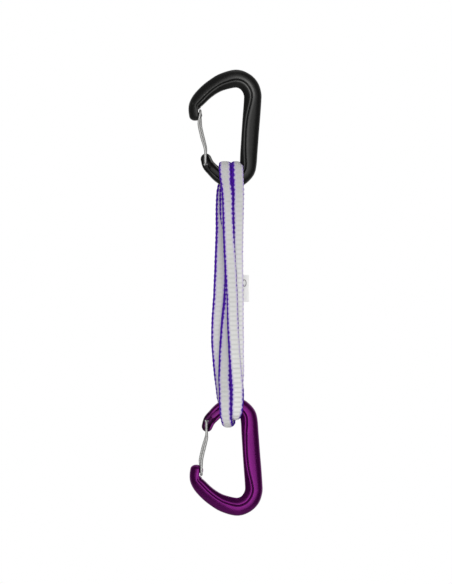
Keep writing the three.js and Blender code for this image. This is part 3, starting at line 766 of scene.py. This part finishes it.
def mark_wear_and_painted_light(piece):
    """Gives the body's points a vector: lightening on the ridge, the gate arm's rim and the lobe, and
    darkening on the lug.

    Rope and hangers rub the basket the most, so the lightening, which is partly polishing and partly a
    painted highlight, is strongest there; the face of the gate's lug is darkened with painted shade.
    """
    mesh = piece.data
    co = vertex_places(mesh) / MM
    t = np.linspace(0, len(STATIONS) - 1, 700)
    rows = along(STATIONS, t)
    way = unit(np.gradient(rows[:, :2], axis=0))
    nearest = np.concatenate([
        np.argmin(((part[:, None, (0, 2)] - rows[None, :, :2]) ** 2).sum(-1), axis=1)
        for part in np.array_split(co, 40)
    ])
    row, heading = rows[nearest], way[nearest]
    off = -(co[:, 0] - row[:, 0]) * heading[:, 1] + (co[:, 2] - row[:, 1]) * heading[:, 0]
    inset = off + row[:, 2]
    ridge = np.exp(-((inset - row[:, 4] + RIDGE_SET * 0.6) / 0.42) ** 2)
    lobe = np.exp(-((inset - row[:, 4] - LOBE_RISE - 0.5) / 0.8) ** 2)
    station = t[nearest]
    basket = np.exp(-((station - BASKET_AT) / 1.8) ** 2)
    spine_top = np.exp(-((station - SPINE_TOP_AT) / 3.0) ** 2)
    # Polishing and painted highlight, strongest at the basket; the gate arm's rim gets them too.
    much = (0.12 + 0.88 * basket + 0.1 * spine_top) * smooth(row[:, 5], 0.3, 1.0)
    rim = np.exp(-((inset - 0.8) / 0.5) ** 2) * smooth(station, *GATE_RIM_FROM)
    # Painted shade: where the lug's face is darkened.
    lug = smooth(station, *LUG_FROM) * smooth(inset, 1.2, 2.2)
    wear_and_painted_light = np.stack([ridge * much + rim, lobe * much * 0.6, lug], 1)
    layer = mesh.attributes.new("wear_and_painted_light", "FLOAT_VECTOR", "POINT")
    layer.data.foreach_set("vector", wear_and_painted_light.astype(np.float32).ravel())


def turned_below(piece, name):
    """A copy for the bottom carabiner: half a turn about X, then lower and a little to the right."""
    mesh = piece.data.copy()
    mesh.name = name
    co = vertex_places(mesh) * (1, -1, -1) + np.array((BOTTOM_X, 0, BOTTOM_Z)) * MM
    mesh.vertices.foreach_set("co", co.astype(np.float32).ravel())
    mesh.update()
    copy = bpy.data.objects.new(name, mesh)
    bpy.context.scene.collection.objects.link(copy)
    return copy


def leg_course(bow):
    """One leg of the wire gate, from the hinge up to the nose: x, distance from the middle plane, z."""
    return [
        (PIVOT[0], STUB_END_Y + WIRE_R, PIVOT[1]),
        (PIVOT[0], LEG_AT_LUG_Y - 1.4, PIVOT[1]),
        (PIVOT[0], LEG_AT_LUG_Y - 0.4, PIVOT[1] + 0.4),
        (PIVOT[0], LEG_AT_LUG_Y, PIVOT[1] + 1.4),
        (-22.7, LEG_AT_LUG_Y, -51),
        (-22.75 + 0.2 * bow, LEG_AT_LUG_Y, -47.2),
        (-23.3 + 0.6 * bow, LEG_AT_LUG_Y - 0.1, -44),
        (-25.2 + bow, 3.6, -38),
        (-26.8 + bow, 3.3, -31.5),
        (-27.5 + bow, LEG_AT_NOSE_Y + 0.1, -27.6),
        (-27.5 + 0.9 * bow, LEG_AT_NOSE_Y, -25.6),
        (-27.0 + 0.4 * bow, LEG_AT_NOSE_Y, -22),
        (-26.5, LEG_AT_NOSE_Y, -19.3),
        (-26.45, LEG_AT_NOSE_Y - 0.3, -18),
        (-26.45, LEG_AT_NOSE_Y - 1.2, -17.15),
    ]


def drawn_tube(name, points, samples, step, radius, sides, girth):
    """A round bar with domed ends along a smooth curve through points, which is sampled this often.

    "strap" holds the distance along it, and how far round it a point is, where a whole turn is girth.
    """
    dense = along(points, np.linspace(0, len(points) - 1, samples))
    path, run = evenly(dense, [0, 1, 2], step=step)
    rings = tube_rings(path, radius, sides)
    strap = np.zeros(rings.shape)
    strap[..., 0] = padded(run)[:, None]
    strap[..., 1] = np.arange(sides) / sides * girth
    return skin(name, rings, {"strap": strap.reshape(-1, 3)})


def wire_gate(name):
    """The top carabiner's gate: one wire up the front leg, round its tip, and down the rear leg."""
    front = [(x, -y, z) for x, y, z in leg_course(0)]
    rear = leg_course(REAR_LEG_SET)[::-1]
    return drawn_tube(name, front + rear, 6000, WIRE_STEP, WIRE_R, WIRE_SIDES, girth=2 * math.pi * WIRE_R)


def paint(piece, finish):
    """Gives a piece its material."""
    piece.data.materials.clear()
    piece.data.materials.append(finish)
    return piece


top_body = carabiner_body("top_forged_body")
bottom_body = turned_below(top_body, "bottom_forged_body")
top_wire = wire_gate("top_drawn_wire_gate")
bottom_wire = turned_below(top_wire, "bottom_drawn_wire_gate")
for piece, finish, slot, body, node in (
    (top_body, BLACK, "black_anodised", "top_carabiner", "top_carabiner_body"),
    (bottom_body, PURPLE, "purple_anodised", "bottom_carabiner", "bottom_carabiner_body"),
    (top_wire, STEEL, "stainless_wire", "top_gate", "top_wire_gate"),
    (bottom_wire, STEEL, "stainless_wire", "bottom_gate", "bottom_wire_gate"),
):
    paint(piece, finish)
    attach(piece, body)
    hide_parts(node)


# ---- Sling ----

def strand_at(name, z):
    """x, y and width of a strand at each height."""
    table = along(STRANDS[name], np.linspace(0, len(STRANDS[name]) - 1, 1500))[::-1]
    return [np.interp(z, table[:, 0], table[:, k]) for k in (1, 2, 3)]


def strand_rows(name, z):
    """A strand's course at each height: x, y, z, width, share of the way round a bar, selvages, painted
    shade.
    """
    x, y, w = strand_at(name, z)
    edges = np.array(SELVAGES[name])[::-1]
    left, right, painted_shade = (np.interp(z, edges[:, 0], edges[:, k]) for k in (1, 2, 3))
    return np.stack([x, y, z, w, 0 * z, left, right, painted_shade], 1)


def crown_rows(bight, bar_z, seam_z, up):
    """A U-shaped course from the seam along the front strand, round the bar, and back along the other.

    Its bight passes over the bar where up is 1, and under it where up is -1.
    """
    front, back, height, stops = bight
    z = np.linspace(seam_z, bar_z, 500)
    legs = [strand_rows(name, z) for name in (front, back)]
    first, last = legs[0][-1], legs[1][-1]
    knots = [(0, first[0], first[3])] + stops + [(180, last[0], last[3])]
    angle = np.linspace(0, 180, 401)[1:-1]
    at = np.interp(angle, [k[0] for k in knots], np.arange(len(knots)))
    x, w = along(knots, at)[:, 1:3].T
    turn = np.radians(angle)
    near = turn < math.pi / 2
    reach, left, right, painted_shade = (np.where(near, first[k], last[k]) for k in (1, 5, 6, 7))
    y = -np.abs(reach) * np.sign(np.cos(turn)) * np.abs(np.cos(turn)) ** CROWN_SQUARE
    z = bar_z + up * height * np.sin(turn) ** CROWN_SQUARE
    crown = np.stack([x, y, z, w, np.sin(turn) * up, left, right, painted_shade], 1)
    return np.concatenate([legs[0], crown, legs[1][::-1]])


def web_section():
    """Places round the webbing's section: share of the half width, and share of the half thickness."""
    u = np.sin(np.radians(np.linspace(-90, 90, SECTION_POINTS)))
    h = (1 - np.abs(u) ** 5) ** 0.42
    u = np.concatenate([u, u[-2:0:-1]])
    h = np.concatenate([h, -h[-2:0:-1]])
    return u, h


def webbing(name, course, roll=0.0):
    """Ribbed webbing along a course, with the "strap" and "relief" that its material follows.

    Roll is how far its edges turn away from the bar at the middle of a crown.
    """
    run = np.linalg.norm(np.diff(course[:, 1:3], axis=0), axis=1).sum()
    ribs = round(run / RIB)
    rows, at = evenly(course, [1, 2], whole=ribs * RIB_RINGS)
    x, y, z, w, around, left, right, painted_shade = rows.T
    phase = 2 * math.pi * np.arange(len(rows)) / RIB_RINGS
    way = unit(np.stack([np.gradient(y), np.gradient(z)], 1))
    u, h = web_section()
    flat = 1 - smooth(np.abs(u), *SELVAGE_FROM)
    rng = np.random.default_rng(len(name) * 31 + ribs)
    chances = rng.uniform(-1, 1, (3, ribs + 3))
    rib_at = np.arange(len(rows)) / RIB_RINGS
    wobble, swell, stray = (np.interp(rib_at, np.arange(ribs + 3), row) for row in chances)
    deep = 0.25 + 0.75 * smooth(z, *RIBS_DEEPEN_Z)
    rib = (0.5 - 0.5 * np.cos(phase)) ** 0.6 * (1 + 0.2 * np.cos(2 * phase) + 0.25 * swell) * deep
    body = WEB_T / 2 - RIB_HEIGHT * 1.1 + RIB_HEIGHT * rib[:, None] * flat[None]
    body = body + (1 - flat[None]) * 0.08  # the selvages are a little thicker
    # A loop of the weft stands out at each edge once for each rib, and the whole strap strays a little.
    bulge = (0.5 - 0.5 * np.cos(phase)) * SCALLOP * (1 + 0.6 * wobble)
    side = (w / 2 - SCALLOP)[:, None] * u[None] + np.sign(u)[None] * (1 - flat[None]) * bulge[:, None]
    side = side + 0.06 * stray[:, None]
    bow = -roll * np.sign(around)[:, None] * around[:, None] ** 2 * np.abs(u[None]) ** 3
    normal = h[None] * body + bow
    points = np.stack([
        x[:, None] + side,
        y[:, None] - way[:, 1:2] * normal,
        z[:, None] + way[:, 0:1] * normal,
    ], -1)
    strap = np.zeros(points.shape)
    strap[..., 0] = at[:, None] * (ribs * RIB / at[-1])
    strap[..., 1] = u[None] * WEB_W / 2
    edge = (1 - np.abs(u))[None] * w[:, None] / 2
    strap[..., 2] = edge - np.where(u[None] < 0, left[:, None], right[:, None])
    relief = np.zeros(points.shape)
    relief[..., 0] = deep[:, None]
    # Its second value is painted shade, which dulls the white.
    relief[..., 1] = painted_shade[:, None]
    return skin(name, points, {"strap": strap.reshape(-1, 3), "relief": relief.reshape(-1, 3)})


def sling_piece(name, course, nodes=(), roll=0.0):
    """A length of webbing along a course, with its placement baked into its points, which hides the given
    parts.
    """
    piece = paint(webbing(name, course, roll), WEBBING)
    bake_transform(piece)
    if nodes:
        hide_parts(*nodes)


for key, bight in TOP_BIGHTS.items():
    sling_piece(
        "sling_top_bight_" + key, crown_rows(bight, TOP_BAR_Z, TOP_SEAM_Z, 1),
        ["sling_top_loop_" + key], TOP_ROLL,
    )
for key, bight in BOTTOM_BIGHTS.items():
    sling_piece(
        "sling_bottom_bight_" + key, crown_rows(bight, BOTTOM_BAR_Z, BOTTOM_SEAM_Z, -1),
        ["sling_bottom_loop_" + key], BOTTOM_ROLL,
    )
for name in STRANDS:
    sling_piece(
        "sling_upper_strand_" + name, strand_rows(name, np.linspace(TOP_SEAM_Z, SEAM_Z, 900)),
        ["sling_strand_" + name],
    )
    sling_piece(
        "sling_lower_strand_" + name, strand_rows(name, np.linspace(SEAM_Z, BOTTOM_SEAM_Z, 900)),
    )

# The end of the webbing lapped over the back right strand, with its bar tacks and label.
lap_rows = strand_rows("back_right", np.linspace(SPLICE_TOP_Z, SPLICE_BOTTOM_Z, 400))
lap_rows[:, 1] = SPLICE_Y
lap = webbing("sling_splice_end", lap_rows)
paint(lap, WEBBING)
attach(lap, "sling_middle")
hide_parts("sling_splice_lap")


def zigzag(x, z):
    """The thread's path: straight strokes whose ends dive into the webbing."""
    face = SPLICE_Y + WEB_T / 2
    pitch = (TACK_W - 2 * TACK_INSET) / TACK_STROKES
    reach = TACK_H / 2 - 0.25
    points = []
    for i in range(TACK_STROKES):
        left = x - TACK_W / 2 + TACK_INSET + pitch * i
        up = 1 if i % 2 else -1
        for share, lift in ((0.0, 0.0), (0.12, 0.36), (0.5, 0.52), (0.88, 0.36)):
            points.append((left + pitch * share, face + lift, z + up * reach * (2 * share - 1)))
    return points


for i, tack_z in enumerate(TACKS_Z, 1):
    tack_x = float(strand_at("back_right", np.array([tack_z]))[0][0])
    path = zigzag(tack_x, tack_z)
    name = f"sling_stitching_{i}"
    tack = drawn_tube(name, path, len(path) * 8, THREAD_STEP, THREAD_R, THIN_SIDES, girth=1)
    paint(tack, THREAD)
    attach(tack, "sling_middle")
    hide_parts(f"sling_bar_tack_{i}")


def label_lean(x):
    """How far the label's free edge leans forwards at x."""
    return LABEL_LEAN * smooth(x, LABEL_FREE_X, LABEL_TO_X)


def label_sheet(name):
    """The cloth label, sewn in under the splice, with a free right edge that curls a little."""
    nx, nz = 49, 81
    xs = np.linspace(LABEL_FROM_X, LABEL_TO_X, nx)
    zs = np.linspace(LABEL_TOP_Z, LABEL_BOTTOM_Z, nz)
    gx, gz = np.meshgrid(xs, zs)
    ripple = 0.18 * smooth(gx, LABEL_FREE_X, LABEL_TO_X) * np.sin((gz - LABEL_TOP_Z) * 0.33)
    middle = LABEL_Y + ripple - label_lean(gx)
    points = [np.stack([gx, middle + side * LABEL_T / 2, gz], -1).reshape(-1, 3) for side in (-1, 1)]
    count = nx * nz
    faces = []
    for r in range(nz - 1):
        for c in range(nx - 1):
            a = r * nx + c
            faces.append([a, a + nx, a + nx + 1, a + 1])
            faces.append([count + a, count + a + 1, count + a + nx + 1, count + a + nx])
    top = list(range(nx))
    right = [r * nx + nx - 1 for r in range(1, nz)]
    bottom = [(nz - 1) * nx + c for c in range(nx - 2, -1, -1)]
    left = [r * nx for r in range(nz - 2, 0, -1)]
    rim = top + right + bottom + left
    for a, b in zip(rim, rim[1:] + rim[:1]):
        faces.append([a, b, count + b, count + a])
    return mesh_piece(name, np.concatenate(points), faces)


def plain_ring(name):
    """An oval line on the label's front, where a printed mark would be."""
    turn = np.linspace(0, 2 * math.pi, RING_POINTS, endpoint=False)
    x = RING_X + RING_HALF_W * np.cos(turn)
    path = np.stack([x, LABEL_Y - LABEL_T / 2 - label_lean(x), RING_Z + RING_HALF_H * np.sin(turn)], 1)
    path = np.concatenate([path, path[:1]])
    rings = tube_rings(path, RING_LINE_R, THIN_SIDES, round_ends=False)
    strap = np.zeros(rings.shape)
    strap[..., 0] = np.arange(len(path))[:, None] * 0.17
    return skin(name, rings, {"strap": strap.reshape(-1, 3)})


label = paint(label_sheet("sling_cloth_label"), LABEL)
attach(label, "sling_middle")
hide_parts("sling_label")

mark = paint(plain_ring("label_plain_ring"), INK)
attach(mark, "sling_middle")


# ---- Camera, light, floor ----

VIEW_CENTRE = (-7.6, 0.0, -150.2)  # the middle of the picture, at the object's middle plane
VIEW_HEIGHT = 429.2
LENS = 100.0
SENSOR = 36.0
LIT_POINT = (0, 0, -0.15)  # where the lights aim, in metres

lens = bpy.data.cameras.new("camera")
lens.lens, lens.sensor_width = LENS, SENSOR
camera = bpy.data.objects.new("camera", lens)
bpy.context.scene.collection.objects.link(camera)
camera.location = np.array(VIEW_CENTRE) * MM - np.array((0, VIEW_HEIGHT * MM * LENS / SENSOR, 0))
camera.rotation_euler = (math.pi / 2, 0, 0)
bpy.context.scene.camera = camera


def softbox(name, place, width, height, power):
    """A soft area light in metres, aimed at the object's middle."""
    light = bpy.data.lights.new(name, "AREA")
    light.shape, light.size, light.size_y, light.energy = "ELLIPSE", width, height, power
    lamp = bpy.data.objects.new(name, light)
    bpy.context.scene.collection.objects.link(lamp)
    lamp.location = place
    way = Vector(LIT_POINT) - Vector(place)
    lamp.rotation_euler = way.to_track_quat("-Z", "Y").to_euler()


softbox("front_wide", (-0.1, -2.3, -0.1), 3.2, 3.2, 47)
softbox("front_core", (-0.2, -2.2, -0.1), 1.0, 1.0, 4.4)
softbox("overhead", (0.0, -0.3, 1.6), 1.0, 0.8, 2.5)


def studio_world():
    """Pale surroundings, bright beyond the object and dim on the lights' side, and white to the camera."""
    world = bpy.data.worlds.new("studio")
    bpy.context.scene.world = world
    world.use_nodes = True
    tree = world.node_tree
    background = tree.nodes["Background"]
    background.inputs["Color"].default_value = (1, 1, 1, 1)
    split = tree.nodes.new("ShaderNodeSeparateXYZ")
    tree.links.new(tree.nodes.new("ShaderNodeTexCoord").outputs["Generated"], split.inputs[0])
    beyond = tree.nodes.new("ShaderNodeMapRange")
    for key, value in (("From Min", -0.15), ("From Max", 0.25), ("To Min", 0.1), ("To Max", 1.0)):
        beyond.inputs[key].default_value = value
    tree.links.new(split.outputs["Y"], beyond.inputs["Value"])
    either = tree.nodes.new("ShaderNodeMath")
    either.operation = "MAXIMUM"
    tree.links.new(beyond.outputs["Result"], either.inputs[0])
    tree.links.new(tree.nodes.new("ShaderNodeLightPath").outputs["Is Camera Ray"], either.inputs[1])
    tree.links.new(either.outputs[0], background.inputs["Strength"])


studio_world()
bpy.context.scene.view_settings.view_transform = "Standard"

FLOOR_RADIUS = 900
FLOOR_Z = -1000
FLOOR_SIDES = 64
turn = np.linspace(0, 2 * math.pi, FLOOR_SIDES, endpoint=False)
rim = np.stack([FLOOR_RADIUS * np.cos(turn), FLOOR_RADIUS * np.sin(turn), np.full(FLOOR_SIDES, FLOOR_Z)], 1)
floor = mesh_piece("floor", rim, [list(range(FLOOR_SIDES))])
paper = Nodes("floor_paper", Roughness=0.8)
grain = paper.noise(paper.add("TexCoord").outputs["Object"], 40.0)
tone = paper.ramp(grain, (0.3, (0.62, 0.62, 0.62, 1)), (0.7, (0.66, 0.66, 0.66, 1)))
floor.data.materials.append(paper.finish(Base_Color=tone))
